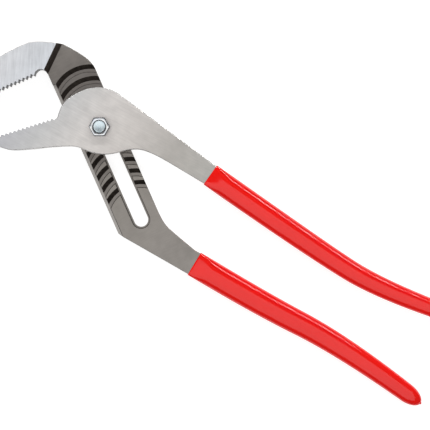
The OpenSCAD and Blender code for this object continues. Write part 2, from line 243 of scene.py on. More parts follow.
@dataclass(frozen=True)
class GroundSteel(Finish):
    """Forged tool steel, ground on a belt and left bare.

    The belt leaves fine straight lines, so the face is satin, with long streaks a little
    lighter and darker, faint clouds, and a tone that drifts from one end to the other.
    """

    stops: tuple[tuple[float, str], ...]  # distance in mm along the drift, and its colour
    drift_angle: float
    brush_angle: float
    roughness: float = 0.4
    gloss_swing: float = 0.06
    # Belt lines are about 0.1 mm apart; they are drawn ten times coarser so that they show
    brush: tuple[float, float, float] = (16.0, 0.9, 0.9)
    streaks: float = 0.1
    clouds: float = 0.05
    cloud_mm: float = 7.0
    dent: float = 0.4

    def drift(self, tree: NodeTree) -> NodeSocket:
        """Runs through the colours along the drift.

        Args:
            tree: The node tree.

        Returns:
            The colour.
        """
        along = add_node(tree, "ShaderNodeSeparateXYZ", {0: turned_place(tree, self.drift_angle)})
        first, last = self.stops[0][0], self.stops[-1][0]
        share = add_node(tree, "ShaderNodeMapRange",
                         {"Value": along.outputs[0], "From Min": first * MM,
                          "From Max": last * MM})
        ramp = add_node(tree, "ShaderNodeValToRGB", {0: share.outputs[0]})
        dots = ramp.color_ramp.elements
        while len(dots) < len(self.stops):
            dots.new(1.0)
        for dot, (distance, colour) in zip(dots, self.stops):
            dot.position = (distance - first) / (last - first)
            dot.color = linear(colour)
        return ramp.outputs[0]

    def inputs(self, tree: NodeTree) -> dict[str, object]:
        """Works out the steel: drifting colour times streaks times clouds, with scratches.

        Args:
            tree: The node tree.

        Returns:
            The shader's inputs.
        """
        streak = Grain(tree, self.brush, self.brush_angle)
        cloud = Grain(tree, (self.cloud_mm,) * 3)
        tone = self.drift(tree)
        for factor in (streak.around(1, self.streaks), cloud.around(1, self.clouds)):
            tone = add_node(tree, "ShaderNodeVectorMath", {0: tone, 1: factor},
                            operation="MULTIPLY").outputs[0]
        return {"Base Color": tone, "Metallic": 1.0,
                "Roughness": streak.around(self.roughness, self.gloss_swing),
                "Normal": streak.relief(self.dent)}


@dataclass(frozen=True)
class MottledMetal(Finish):
    """A metal in two close colours, in blotches that are also a little duller or glossier."""

    one: str
    two: str
    roughness: float
    gloss_swing: float
    blotch_mm: float
    detail: float
    dent: float
    metallic: float = 1.0

    def inputs(self, tree: NodeTree) -> dict[str, object]:
        """Works out the metal: colour, gloss and relief all follow the blotches.

        Args:
            tree: The node tree.

        Returns:
            The shader's inputs.
        """
        blotch = Grain(tree, (self.blotch_mm,) * 3, detail=self.detail)
        return {"Base Color": blotch.mottled(self.one, self.two), "Metallic": self.metallic,
                "Roughness": blotch.around(self.roughness, self.gloss_swing),
                "Normal": blotch.relief(self.dent)}


@dataclass(frozen=True)
class ScaleAndShadeSteel(MottledMetal):
    """Milled steel still dark with cutting oil and scale, which gives the eye depth.

    Nearly black, dull and a little blotchy steel, which paints shade into a face's colour.

    It draws a groove's slope, a slanting shoulder or a tooth's flank as a dark band of painted
    shade; in the grooves it also stands for oil-dark oxide.
    """

    roughness: float = 0.5
    gloss_swing: float = 0.08
    blotch_mm: float = 2.5
    detail: float = 4.0
    dent: float = 0.3
    metallic: float = 0.7


@dataclass(frozen=True)
class ZincPlate(MottledMetal):
    """Bright zinc plating: cool, glossy, with a faint cloud of blue and straw."""

    roughness: float = 0.2
    gloss_swing: float = 0.05
    blotch_mm: float = 2.2
    detail: float = 2.0
    dent: float = 0.15


@dataclass(frozen=True)
class DippedVinyl(Finish):
    """Plastisol, dipped and cured: saturated red, wet gloss, and a gently wavy skin."""

    deep: str
    thin: str
    roughness: float = 0.07
    wave_mm: float = 14.0
    wave_depth: float = 0.3
    wave_dent: float = 0.12
    peel_mm: float = 1.6
    peel_dent: float = 0.04
    ior: float = 1.52

    def inputs(self, tree: NodeTree) -> dict[str, object]:
        """Works out the vinyl: two close reds, long waves and a fine orange peel.

        Args:
            tree: The node tree.

        Returns:
            The shader's inputs.
        """
        wave = Grain(tree, (self.wave_mm * 3, self.wave_mm, self.wave_mm), detail=1.0)
        peel = Grain(tree, (self.peel_mm,) * 3, detail=1.0)
        waves = wave.relief(self.wave_dent, self.wave_depth)
        return {"Base Color": wave.mottled(self.deep, self.thin),
                "Roughness": peel.between(self.roughness - 0.02, self.roughness + 0.03),
                "IOR": self.ior, "Normal": peel.relief(self.peel_dent, under=waves)}


@dataclass(frozen=True)
class LitPaper(Finish):
    """Paper on a light table: matte white, lit a little from below.

    Its grain is so faint that it reads as plain.
    """

    glow: float = 0.8
    grain_mm: float = 2.0
    white: tuple[float, float] = (0.495, 0.505)
    roughness: float = 0.9
    gloss_level: float = 0.1

    def inputs(self, tree: NodeTree) -> dict[str, object]:
        """Works out the paper: a white that hardly changes, and its glow.

        Args:
            tree: The node tree.

        Returns:
            The shader's inputs.
        """
        tone = Grain(tree, (self.grain_mm,) * 3).between(*self.white)
        white = add_node(tree, "ShaderNodeCombineXYZ", {i: tone for i in range(3)})
        return {"Base Color": white.outputs[0], "Roughness": self.roughness,
                "Specular IOR Level": self.gloss_level,
                "Emission Color": (1.0, 1.0, 1.0, 1.0), "Emission Strength": self.glow}


# The tongued member: head and handle ground warm grey, its jaw a shade cooler
HEAD_STEEL = GroundSteel(
    "belt_ground_steel_light",
    ((-62, "#C3C3C8"), (-36, "#CDCDCD"), (-8, "#DCD8D5"), (20, "#D6D1CD"), (58, "#BAB6B1"),
     (96, "#B8B6B1")),
    drift_angle=0, brush_angle=8, streaks=0.05)
# The slotted member below the jaw: darker, coarser ground
NECK_STEEL = GroundSteel(
    "belt_ground_steel_dark",
    ((-64, "#86817C"), (-44, "#78736F"), (-20, "#736E6A"), (20, "#88827D"), (60, "#938E88"),
     (110, "#96918C"), (150, "#98938E")),
    drift_angle=-SLOT_ANGLE, brush_angle=62, brush=(9.0, 0.8, 0.8), streaks=0.05)
# The upper jaw's face is surface ground after the neck is milled away: brightest and cool
JAW_STEEL = GroundSteel(
    "surface_ground_steel",
    ((-100, "#ECEDF0"), (-70, "#E2E5EA"), (-40, "#DDE0E6")),
    drift_angle=0, brush_angle=123, roughness=0.36, streaks=0.05)
# Edges that a cloth wheel has rounded: bare, pale metal, with a painted highlight along them
RUBBED_HIGHLIGHT_STEEL = GroundSteel(
    "rubbed_edge_painted_highlight", ((-100, "#DAD8D6"), (150, "#DAD8D6")),
    drift_angle=0, brush_angle=0, roughness=0.3, streaks=0.06, dent=0.2)
# The same on the slotted member: a painted highlight round the jaw, duller along the neck and
# handle
DULL_HIGHLIGHT_EDGE = GroundSteel(
    "rubbed_edge_painted_highlight_dull", ((-60, "#DAD8D6"), (-54, "#9C9995"), (150, "#9C9995")),
    drift_angle=-SLOT_ANGLE, brush_angle=0, roughness=0.5, streaks=0.06, dent=0.2)
# Floors of the grooves and steps, cut by a mill and only wiped
MILLED_STEEL = GroundSteel(
    "milled_steel_floor",
    ((-60, "#77726E"), (0, "#726C68"), (60, "#86817C")),
    drift_angle=-SLOT_ANGLE, brush_angle=10, brush=(5.0, 0.7, 0.7), streaks=0.1)
# The strip along the left rail, ground after the grooves are cut: a pale line along them
STRIP_STEEL = GroundSteel(
    "ground_edge_strip", ((-60, "#A39F9B"), (60, "#ABA7A3")),
    drift_angle=-SLOT_ANGLE, brush_angle=-SLOT_ANGLE, streaks=0.06)
# Walls of the grooves: dark oxide, and mostly painted shade, which draws the dark bands across
# the neck and the rails
GROOVE_SCALE_AND_SHADE = ScaleAndShadeSteel("groove_wall_oxide_and_painted_shade", "#241F1B", "#3A332D")
# The slanting shoulder beside the jaw and the tongue: painted shade, a little browner and paler
SHOULDER_SHADE = ScaleAndShadeSteel("painted_shade_shoulder", "#3C3530", "#544B45")
# Broached tooth flanks, painted dark grey as the shade between the teeth, which draws them as a
# dark zigzag
TOOTH_SHADE = ScaleAndShadeSteel("painted_shade_tooth_flank", "#4C4B4C", "#6A696A")
# Plated fasteners: the nut's top, its sides and countersink in a dark zinc that is painted shade,
# and the bolt's end
NUT_ZINC = ZincPlate("bright_zinc_nut", "#D9DEE8", "#E6E6E2")
SHADED_ZINC = ZincPlate("painted_shade_zinc_sides", "#5C5D62", "#74757A", roughness=0.4)
BOLT_ZINC = ZincPlate("bright_zinc_bolt", "#CEDEE6", "#DCE7EA", roughness=0.3)
# The grips, all one red; a thinner skin is a hair more orange
GRIP_VINYL = DippedVinyl("dipped_red_vinyl", "#FA0A00", "#FF0E02")
# The floor: a plain white that keeps the shadows faint
PAPER = LitPaper("pale_paper")


def new_piece(name: str, mesh: Mesh, finishes: tuple[Finish, ...], body: Body,
              slot: Slot, *replaced: str) -> Object:
    """Puts a finished mesh in the scene as a piece of the object.

    Args:
        name: The piece's name.
        mesh: Its mesh, in place.
        finishes: The finishes of its material slots, in order.
        body: The body it moves with.
        slot: The record's slot; not used.
        *replaced: CAD nodes it stands for.

    Returns:
        The piece.
    """
    mesh.name = name
    piece = bpy.data.objects.new(name, mesh)
    bpy.context.scene.collection.objects.link(piece)
    for one in finishes:
        mesh.materials.append(one.material())
    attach(piece, body.value)
    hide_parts(*replaced)
    return piece


def rings_mesh(rings: np.ndarray, first: tuple | np.ndarray | None = None,
               last: tuple | np.ndarray | None = None) -> Mesh:
    """Makes a closed mesh from rings of points, each joined to the next.

    Args:
        rings: Points in mm, as rings by points by 3.
        first: A pole that closes the first ring, in mm, or None.
        last: A pole that closes the last ring, in mm, or None. With neither pole, the last
            ring is joined to the first.

    Returns:
        The mesh, in metres, with its faces outwards.
    """
    count, sides = rings.shape[:2]
    index = np.arange(count * sides).reshape(count, sides)
    after = np.roll(index, -1, axis=1)
    rows = slice(None) if first is None and last is None else slice(-1)
    quads = np.stack([index, after, np.roll(after, -1, axis=0), np.roll(index, -1, axis=0)],
                     axis=-1)
    faces = quads[rows].reshape(-1, 4).tolist()
    points = rings.reshape(-1, 3)
    for pole, ring, on in ((first, index[0], after[0]), (last, index[-1], after[-1])):
        if pole is None:
            continue
        points = np.vstack([points, pole])
        hub = np.full(sides, len(points) - 1)
        fan = np.stack([hub, on, ring] if pole is first else [hub, ring, on], axis=-1)
        faces += fan.tolist()
    mesh = bpy.data.meshes.new("rings")
    mesh.from_pydata((points * MM).tolist(), [], faces)
    work = bmesh.new()
    work.from_mesh(mesh)
    bmesh.ops.recalc_face_normals(work, faces=work.faces)
    work.to_mesh(mesh)
    work.free()
    mesh.shade_smooth()
    return mesh


def merged_copy(node: str, cut_angle: float) -> Mesh:
    """Copies a CAD node's mesh, joins its loose triangles and melts its flat faces.

    A cut through the bolt's axis is kept, so that no flat face goes right round a hole. The
    normals that the CAD mesh stores are left behind, because they fit its triangles only.

    Args:
        node: The CAD node.
        cut_angle: Direction of the cut from X, in degrees.

    Returns:
        The new mesh, in metres.
    """
    turn = math.radians(cut_angle)
    work = bmesh.new()
    work.from_mesh(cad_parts[node].data)
    bmesh.ops.remove_doubles(work, verts=work.verts, dist=WELD * MM)
    made = bmesh.ops.bisect_plane(
        work, geom=[*work.verts, *work.edges, *work.faces], dist=2 * WELD * MM,
        plane_co=(0.0, 0.0, 0.0), plane_no=(-math.sin(turn), math.cos(turn), 0.0))
    for item in made["geom_cut"]:
        if isinstance(item, bmesh.types.BMEdge):
            item.seam = True
    bmesh.ops.dissolve_limit(work, angle_limit=math.radians(FLAT_TURN), verts=work.verts,
                             edges=work.edges, delimit={"SEAM"})
    bmesh.ops.dissolve_degenerate(work, dist=SHORTEST_EDGE * MM, edges=work.edges)
    mesh = bpy.data.meshes.new(node)
    work.to_mesh(mesh)
    work.free()
    stored = mesh.attributes.get("custom_normal")
    if stored:
        mesh.attributes.remove(stored)
    return mesh


@dataclass
class MeshFacts:
    """Whole-array facts of a mesh: its faces, and the two faces at each edge, in mm."""

    mesh: Mesh

    def __post_init__(self) -> None:
        """Reads the mesh once."""
        mesh = self.mesh
        polygons, edges = len(mesh.polygons), len(mesh.edges)
        self.points = self._read(mesh.vertices, "co", 3) / MM
        self.normal = self._read(mesh.polygons, "normal", 3)
        self.centre = self._read(mesh.polygons, "center", 3) / MM
        self.area = self._read(mesh.polygons, "area", 1)[:, 0]
        total = self._read(mesh.polygons, "loop_total", 1, np.int32)[:, 0]
        corner = self._read(mesh.loops, "vertex_index", 1, np.int32)[:, 0]
        owner = np.repeat(np.arange(polygons), total)
        level = self.points[corner, 2]
        top, bottom = np.full(polygons, -np.inf), np.full(polygons, np.inf)
        np.maximum.at(top, owner, level)
        np.minimum.at(bottom, owner, level)
        self.height = top - bottom
        side = self._read(mesh.loops, "edge_index", 1, np.int32)[:, 0]
        order = np.argsort(side, kind="stable")
        count = np.bincount(side, minlength=edges)
        start = np.concatenate([[0], np.cumsum(count)[:-1]])
        self.pair_ok = count == 2
        one = owner[order[start]]
        two = owner[order[np.minimum(start + 1, len(order) - 1)]]
        swap = self.area[one] < self.area[two]
        self.big, self.small = np.where(swap, two, one), np.where(swap, one, two)
        ends = self._read(mesh.edges, "vertices", 2, np.int32)
        self.middle = self.points[ends].mean(axis=1)

    @staticmethod
    def _read(items: bpy.types.bpy_prop_collection, name: str, width: int,
              kind: type = np.float32) -> np.ndarray:
        """Reads one property of every item.

        Args:
            items: The mesh's vertices, edges, loops or polygons.
            name: The property.
            width: Numbers in it.
            kind: Type of the numbers.

        Returns:
            An array of items by width.
        """
        flat = np.zeros(len(items) * width, kind)
        items.foreach_get(name, flat)
        return flat.reshape(-1, width)

    def convex(self, angle: float) -> np.ndarray:
        """Finds the edges that stand out and turn by more than an angle.

        An edge stands out where the smaller face's centre lies behind the larger face.

        Args:
            angle: The least turn, in degrees.

        Returns:
            One truth value for each edge.
        """
        ahead = self.normal[self.big]
        turn = np.einsum("ij,ij->i", ahead, self.normal[self.small])
        behind = np.einsum("ij,ij->i", ahead, self.centre[self.small] - self.middle)
        return self.pair_ok & (turn < math.cos(math.radians(angle))) & (behind < 0)


def to_axes(points: np.ndarray, angle: float) -> np.ndarray:
    """Turns points into axes that lie at an angle.

    Args:
        points: Points, whose first two numbers are used.
        angle: Angle of the first axis from X, in degrees.

    Returns:
        The distances along the first axis and across it.
    """
    c, s = math.cos(math.radians(angle)), math.sin(math.radians(angle))
    return np.stack([points[:, 0] * c + points[:, 1] * s,
                     points[:, 1] * c - points[:, 0] * s], axis=-1)


@dataclass
class Grip:
    """A dipped vinyl grip over the end of a steel handle, in mm.

    Its section is a superellipse: a point of the ellipse at angle f, stretched by
    (|cos f|^p + |sin f|^p)^(-1/p). The power p falls from squarest at the mouth to nearly
    round, and the half sizes run along the handle's middle line to a rounded end, from
    which a small drop hangs.
    """

    name: str
    line: tuple[tuple[float, float], ...]  # points that the handle's middle line bends towards
    mouth: float  # where the grip starts along that line
    size: tuple[float, float, float, float]  # width, thickness near the mouth, and near the end
    steel_w: float
    mid_z: float
    body: Body
    handle_t: float = 9.0  # the steel's thickness at the mouth
    core_t: float = 7.0  # and deep inside
    lip: float = 0.8
    fit: float = 0.05
    vinyl_t: float = 1.7
    side_share: float = 1.35  # how many times as thick the vinyl is at the sides
    lip_l: float = 16.0
    end_l: float = 14.0
    end_turn: float = 1.42  # how far round the end goes before the drop, in radians
    core_end: float = 14.0
    drop: float = 0.8
    drop_r: float = 1.15
    drop_sunk: float = 0.1
    drop_turns: tuple[float, ...] = (0.15, 0.5, 0.85, 1.2)  # its rings, in radians
    end_gap: float = 0.25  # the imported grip's facets stop this far short of the line's end
    mouth_power: float = 9.0
    grip_power: float = 2.7
    sides: int = 72
    core_rings: int = 24
    mouth_rings: int = 14
    lip_rings: int = 9
    swell_rings: int = 20
    body_rings: int = 110
    end_rings: int = 18
    arc_points: int = 61

    def centre_line(self) -> tuple[np.ndarray, np.ndarray]:
        """Works out the middle line: arcs that join the middles of the control polygon.

        Each arc is (1-u)^2 a + 2u(1-u) b + u^2 c, with b a control point and a and c the
        middles on either side of it.

        Returns:
            The line's points, and the distance run at each.
        """
        corner = np.array(self.line)
        middle = (corner[:-1] + corner[1:]) / 2
        starts = np.vstack([corner[:1], middle[1:-1]])
        ends = np.vstack([middle[1:-1], corner[-1:]])
        u = np.linspace(0, 1, self.arc_points)[None, :, None]
        arcs = ((1 - u) ** 2 * starts[:, None] + 2 * u * (1 - u) * corner[1:-1][:, None]
                + u ** 2 * ends[:, None])
        points = np.vstack([arcs[0], *arcs[1:, 1:]])
        steps = np.linalg.norm(np.diff(points, axis=0), axis=1)
        return points, np.concatenate([[0], np.cumsum(steps)])

    def swell(self, d: np.ndarray) -> np.ndarray:
        """Share of the way from the mouth's shape to the grip's own, at each distance."""
        return np.sin(np.pi / 2 * np.clip(d / self.lip_l, 0, 1))

    @staticmethod
    def taper(d: np.ndarray, length: float) -> np.ndarray:
        """Share of the way from the width near the mouth to that near the end."""
        return (np.maximum(d, 0) / length) ** 2

    def section(self, d: np.ndarray, half_w: np.ndarray, half_t: np.ndarray,
                power: np.ndarray, points: np.ndarray, run: np.ndarray) -> np.ndarray:
        """Carries superellipse sections along the middle line.

        Args:
            d: Distance of each section from the mouth.
            half_w: Half width of each.
            half_t: Half thickness of each.
            power: Power of each.
            points: The middle line.
            run: Distance run along it.

        Returns:
            The rings, as sections by points by 3.
        """
        at = self.mouth + d
        heading = np.unwrap(np.arctan2(*np.gradient(points, run, axis=0).T[::-1]))
        x, y, turn = (np.interp(at, run, column) for column in (*points.T, heading))
        beyond = np.maximum(at - run[-1], 0)
        x, y = x + beyond * np.cos(turn), y + beyond * np.sin(turn)
        f = 2 * np.pi * (np.arange(self.sides) + 0.5) / self.sides
        c, s = np.cos(f)[None], np.sin(f)[None]
        p = power[:, None]
        stretch = (np.abs(c) ** p + np.abs(s) ** p) ** (-1 / p)
        across, up = half_w[:, None] * stretch * c, half_t[:, None] * stretch * s
        side_x, side_y = -np.sin(turn)[:, None], np.cos(turn)[:, None]
        return np.stack([x[:, None] + side_x * across, y[:, None] + side_y * across,
                         self.mid_z + up], axis=-1)

    def outside(self, d: np.ndarray, length: float) -> tuple[np.ndarray, np.ndarray]:
        """Sizes the outside, before its end is rounded.

        Args:
            d: Distances from the mouth.
            length: The grip's length.

        Returns:
            Half width and half thickness at each.
        """
        near_w, near_t, far_w, far_t = self.size
        k, share = self.swell(d), self.taper(d, length)
        wide = (near_w + (far_w - near_w) * share) / 2
        thick = (near_t + (far_t - near_t) * share) / 2
        half_w = (self.steel_w / 2 + self.lip) * (1 - k) + wide * k
        half_t = (self.handle_t / 2 + self.lip) * (1 - k) + thick * k
        return half_w, half_t

    def inside(self, d: np.ndarray, length: float) -> tuple[np.ndarray, np.ndarray]:
        """Sizes the hollow, which fits the steel.

        Args:
            d: Distances from the mouth.
            length: The grip's length.

        Returns:
            Half width and half thickness at each.
        """
        near_w, _, far_w, _ = self.size
        k = self.swell(d)
        wide = (near_w + (far_w - near_w) * self.taper(d, length)) / 2
        half_w = self.steel_w / 2 * (1 - k) + (wide - self.side_share * self.vinyl_t) * k
        thick = self.handle_t + (self.core_t - self.handle_t) * np.clip(d / self.lip_l, 0, 1)
        return half_w + self.fit, thick / 2 + self.fit

    def mesh(self) -> Mesh:
        """Builds the skin: hollow inside, rolled lip at the mouth, outside, and the end.

        Returns:
            The mesh.
        """
        points, run = self.centre_line()
        length = run[-1] - self.mouth - self.end_gap
        body_l = length - self.drop
        # Hollow, from deep inside back to the lip
        roll = (self.lip - self.fit) / 2
        d_in = np.concatenate([np.linspace(length - self.core_end, self.lip_l, self.core_rings),
                               np.linspace(self.lip_l, roll, self.mouth_rings)[1:]])
        w_in, t_in = self.inside(d_in, length)
        # Lip: half a turn from the hollow to the outside
        a = np.linspace(0, np.pi, self.lip_rings)[1:-1]
        d_lip = roll * (1 - np.sin(a))
        grow = roll * (1 - np.cos(a))
        w_lip, t_lip = self.inside(np.zeros_like(a), length)
        w_lip, t_lip = w_lip + grow, t_lip + grow
        # Outside, then the rounded end and its drop
        end_d = body_l - self.end_l
        d_out = np.concatenate([np.linspace(roll, self.lip_l, self.swell_rings),
                                np.linspace(self.lip_l, end_d, self.body_rings)[1:]])
        w_out, t_out = self.outside(d_out, length)
        turn = np.linspace(0, self.end_turn, self.end_rings)[1:]
        d_end = end_d + self.end_l * np.sin(turn)
        w_end, t_end = (half * np.cos(turn) for half in self.outside(d_end, length))
        b = np.array(self.drop_turns)
        d_drop = body_l - self.drop_sunk + (self.drop + self.drop_sunk) * np.sin(b)
        w_drop = self.drop_r * np.cos(b)
        rings_d = np.concatenate([d_in, d_lip, d_out, d_end, d_drop])
        rings_w = np.concatenate([w_in, w_lip, w_out, w_end, w_drop])
        rings_t = np.concatenate([t_in, t_lip, t_out, t_end, w_drop])
        # The hollow is as square as the mouth, and the drop is round
        k = self.swell(rings_d)
        power = self.mouth_power + (self.grip_power - self.mouth_power) * k
        power[:len(d_in) + len(d_lip)] = self.mouth_power
        power[-len(d_drop):] = 2.0
        rings = self.section(rings_d, rings_w, rings_t, power, points, run)
        return rings_mesh(rings, rings[0].mean(axis=0), rings[-1].mean(axis=0))

    def build(self) -> Object:
        """Makes the grip and dresses it."""
        return new_piece(f"{self.name}_skin", self.mesh(), (GRIP_VINYL,), self.body,
                         Slot.RED_VINYL, self.name)


class SteelFace(IntEnum):
    """How a face of a steel member was made, or the painted shade or highlight it takes: its
    material slots, in order.
    """

    MAIN = 0
    EDGE = 1
    JAW = 2
    FLOOR = 3
    GROOVE = 4
    SHOULDER = 5
    TOOTH = 6
    STRIP = 7


@dataclass
class Member:
    """What the two steel members share: how they are dressed and their edges rounded, in mm."""

    node: str  # the CAD node that it is a copy of
    name: str
    body: Body
    slot: Slot
    forging: Finish  # what the member is ground to, where nothing else is said
    # the pale colour of the rounded edges: worn metal with a painted highlight
    edge: Finish
    cut_angle: float
    inner_z: float  # level of the face towards the other member
    handle_z: float  # level of the handle's face on that side
    inner_edge: float  # radius of the edges at those two levels
    ramp_edge: tuple[float, float]  # radius of the edges of a slope facing down, and up
    back_edge: float = 0.6
    front_edge: float = 0.5
    least_wall: float = 0.6
    least_turn: float = 25.0
    smooth_turn: float = 24.0  # a turn of more than this, in degrees, stays an edge
    edge_segments: int = 2
    level_slack: float = 0.06  # an edge this near a level lies on it
    clear: float = 0.5  # a face this far from a level lies above or below it

    def zones(self, facts: MeshFacts) -> np.ndarray:
        """Says how each face was made, or the painted shade it takes, as a SteelFace. Each member
        has its own.
        """
        raise NotImplementedError

    def grip(self) -> Grip:
        """Sizes the grip over the handle. Each member has its own."""
        raise NotImplementedError

    def round_edges(self, mesh: Mesh, facts: MeshFacts, zone: np.ndarray) -> None:
        """Marks how far each edge is rounded, for the Bevel that finishes the piece.

        An edge is rounded where a level or sloping face meets a wall. The teeth stay sharp.

        Args:
            mesh: The member's mesh.
            facts: Its faces and edges.
            zone: The SteelFace of each face.
        """
        low, high = (corner.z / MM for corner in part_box(self.node))
        radii = {low: self.back_edge, high: self.front_edge, self.inner_z: self.inner_edge,
                 self.handle_z: self.inner_edge}
        rise = np.abs(facts.normal[:, 2])
        wall, flat = rise < WALL_RISE, rise > LEVEL_RISE
        rim = (wall[facts.big] & flat[facts.small]) | (flat[facts.big] & wall[facts.small])
        upright = np.where(wall[facts.big], facts.big, facts.small)
        lying = np.where(wall[facts.big], facts.small, facts.big)
        rim &= facts.convex(self.least_turn) & (facts.height[upright] > self.least_wall)
        rim &= zone[upright] != SteelFace.TOOTH
        down, up = self.ramp_edge
        # A face that isn't dead level is a slope
        slope = np.where(facts.normal[lying, 2] > 0, up, down)
        weight = np.where(rim & (rise[lying] < 0.9999), slope, 0).astype(np.float32)
        for level, radius in radii.items():
            weight[rim & (np.abs(facts.middle[:, 2] - level) < self.level_slack)] = radius
        marks = mesh.attributes.new("bevel_weight_edge", "FLOAT", "EDGE")
        marks.data.foreach_set("value", weight)

    def finish(self, piece: Object) -> None:
        """Rounds the marked edges and keeps the flats flat.

        Args:
            piece: The member's piece.
        """
        piece.data.shade_smooth()
        piece.data.set_sharp_from_angle(angle=math.radians(self.smooth_turn))
        rounding = piece.modifiers.new("rounded_edges", "BEVEL")
        rounding.limit_method = "WEIGHT"
        rounding.width = MM
        rounding.segments = self.edge_segments
        rounding.use_clamp_overlap = False
        # The rounded faces take the pale edge colour, which paints a highlight along the edges
        rounding.material = int(SteelFace.EDGE)
        flats = piece.modifiers.new("flat_faces", "WEIGHTED_NORMAL")
        flats.keep_sharp = True

    def build(self) -> list[Object]:
        """Makes the member and its grip.

        Returns:
            The two pieces.
        """
        mesh = merged_copy(self.node, self.cut_angle)
        facts = MeshFacts(mesh)
        zone = self.zones(facts)
        self.round_edges(mesh, facts, zone)
        mesh.polygons.foreach_set("material_index", zone.astype(np.int32))
        # Slots in SteelFace order; the groove, shoulder and tooth colours are painted shade
        finishes = (self.forging, self.edge, JAW_STEEL, MILLED_STEEL, GROOVE_SCALE_AND_SHADE,
                    SHOULDER_SHADE, TOOTH_SHADE, STRIP_STEEL)
        piece = new_piece(self.name, mesh, finishes, self.body, self.slot, self.node)
        self.finish(piece)
        return [piece, self.grip().build()]


@dataclass
class SlottedHalf(Member):
    """The member with the upper jaw, the slot and the grooves, and the lower grip.

    Its directions s and t run along the slot from the bolt and across it, in mm.
    """

    node: str = "slotted_member"
    name: str = "slotted_steel_half"
    body: Body = Body.SLOTTED
    slot: Slot = Slot.SLOTTED_STEEL
    forging: Finish = NECK_STEEL
    edge: Finish = DULL_HIGHLIGHT_EDGE
    cut_angle: float = -SLOT_ANGLE
    inner_z: float = 12.2
    handle_z: float = 14.1
    inner_edge: float = 0.35
    ramp_edge: tuple[float, float] = (0.6, 0.35)
    groove_floor_z: float = 9.6
    groove_wall: float = 2.8  # a groove's ends are walls lower than this
    jaw_s: float = -56.2  # the jaw's front face lies beyond this
    strip_t: float = -18.1  # the strip along the left rail lies beyond this
    tooth_s: tuple[float, float] = (-61.8, -57.4)
    tooth_t: tuple[float, float] = (-85.6, -22.0)
    lower_l: float = 335.0

    def zones(self, facts: MeshFacts) -> np.ndarray:
        """Says how each face was made, or which faces take painted shade, from where it lies and
        how it leans.

        Args:
            facts: The mesh's faces.

        Returns:
            A SteelFace for each face.
        """
        rise, level = facts.normal[:, 2], facts.centre[:, 2]
        s, t = to_axes(facts.centre, -SLOT_ANGLE).T
        up, upright = rise > LEVEL_RISE, np.abs(rise) <= WALL_RISE
        slant = (rise > WALL_RISE) & ~up
        sunk = up & (level < self.inner_z - self.clear)
        in_teeth = ((s > self.tooth_s[0]) & (s < self.tooth_s[1])
                    & (t > self.tooth_t[0]) & (t < self.tooth_t[1]))
        zone = np.full(len(rise), int(SteelFace.MAIN))
        zone[up & (level > self.inner_z + self.clear) & (s < self.jaw_s)] = SteelFace.JAW
        # Tooth flanks take painted shade
        zone[upright & in_teeth] = SteelFace.TOOTH
        zone[sunk] = SteelFace.FLOOR
        zone[sunk & (t < self.strip_t)] = SteelFace.STRIP
        # Slopes below the mating face take the groove's dark colour, painted shade with oxide;
        # slopes above it the shoulder's painted shade
        zone[slant & (level < self.inner_z)] = SteelFace.GROOVE
        zone[slant & (level > self.inner_z) & (s < 0)] = SteelFace.SHOULDER
        # Short upright walls of the grooves and steps also take it, as thin dark lines of painted
        # shade
        zone[upright & (level > self.groove_floor_z + self.clear) & (level < self.inner_z)
             & (facts.height < self.groove_wall)] = SteelFace.GROOVE
        return zone

    def grip(self) -> Grip:
        """Sizes the grip over the lower handle.

        Returns:
            The grip.
        """
        end = self.lower_l
        line = ((100.0, -45.2), (end - 160, -39.1), (end - 73, -25.2), (end, -26.6))
        return Grip("lower_grip", line, mouth=23.8, size=(20.8, 13.6, 14.2, 11.6), steel_w=19.0,
                    mid_z=9.6, body=self.body)


@dataclass
class TonguedHalf(Member):
    """The member with the lower jaw, the round head and the tongue, and the upper grip."""

    node: str = "tongued_member"
    name: str = "tongued_steel_half"
    body: Body = Body.TONGUED
    slot: Slot = Slot.TONGUED_STEEL
    forging: Finish = HEAD_STEEL
    edge: Finish = RUBBED_HIGHLIGHT_STEEL
    cut_angle: float = 0.0
    inner_z: float = 12.35
    handle_z: float = 10.45
    inner_edge: float = 0.3
    ramp_edge: tuple[float, float] = (0.3, 0.5)
    jaw_angle: float = 234.0
    first_tooth: tuple[float, float] = (-35.29, -17.73)
    tooth_along: tuple[float, float] = (-4.0, 51.0)
    tooth_depth: float = 2.2
    shoulder_rise: float = 0.2
    upper_l: float = 332.0

    def zones(self, facts: MeshFacts) -> np.ndarray:
        """Says how each face was made: teeth lie along the jaw, and slants are milled; slants and
        tooth flanks take painted shade.

        Args:
            facts: The mesh's faces.

        Returns:
            A SteelFace for each face.
        """
        rise = np.abs(facts.normal[:, 2])
        along, across = to_axes(facts.centre - np.array([*self.first_tooth, 0.0]),
                                self.jaw_angle).T
        low, high = self.tooth_along
        zone = np.full(len(rise), int(SteelFace.MAIN))
        zone[(rise > self.shoulder_rise) & (rise < LEVEL_RISE)] = SteelFace.SHOULDER
        zone[(rise < WALL_RISE) & (along > low) & (along < high)
             & (np.abs(across) < self.tooth_depth)] = SteelFace.TOOTH
        return zone

    def grip(self) -> Grip:
        """Sizes the grip over the upper handle.

        Returns:
            The grip.
        """
        end = self.upper_l
        line = ((60.0, 20.4), (end - 142, 22.6), (end - 70, 28.0), (end, 50.5))
        return Grip("upper_grip", line, mouth=32.5, size=(18.9, 13.2, 12.4, 11.2), steel_w=16.9,
                    mid_z=14.95, body=self.body)


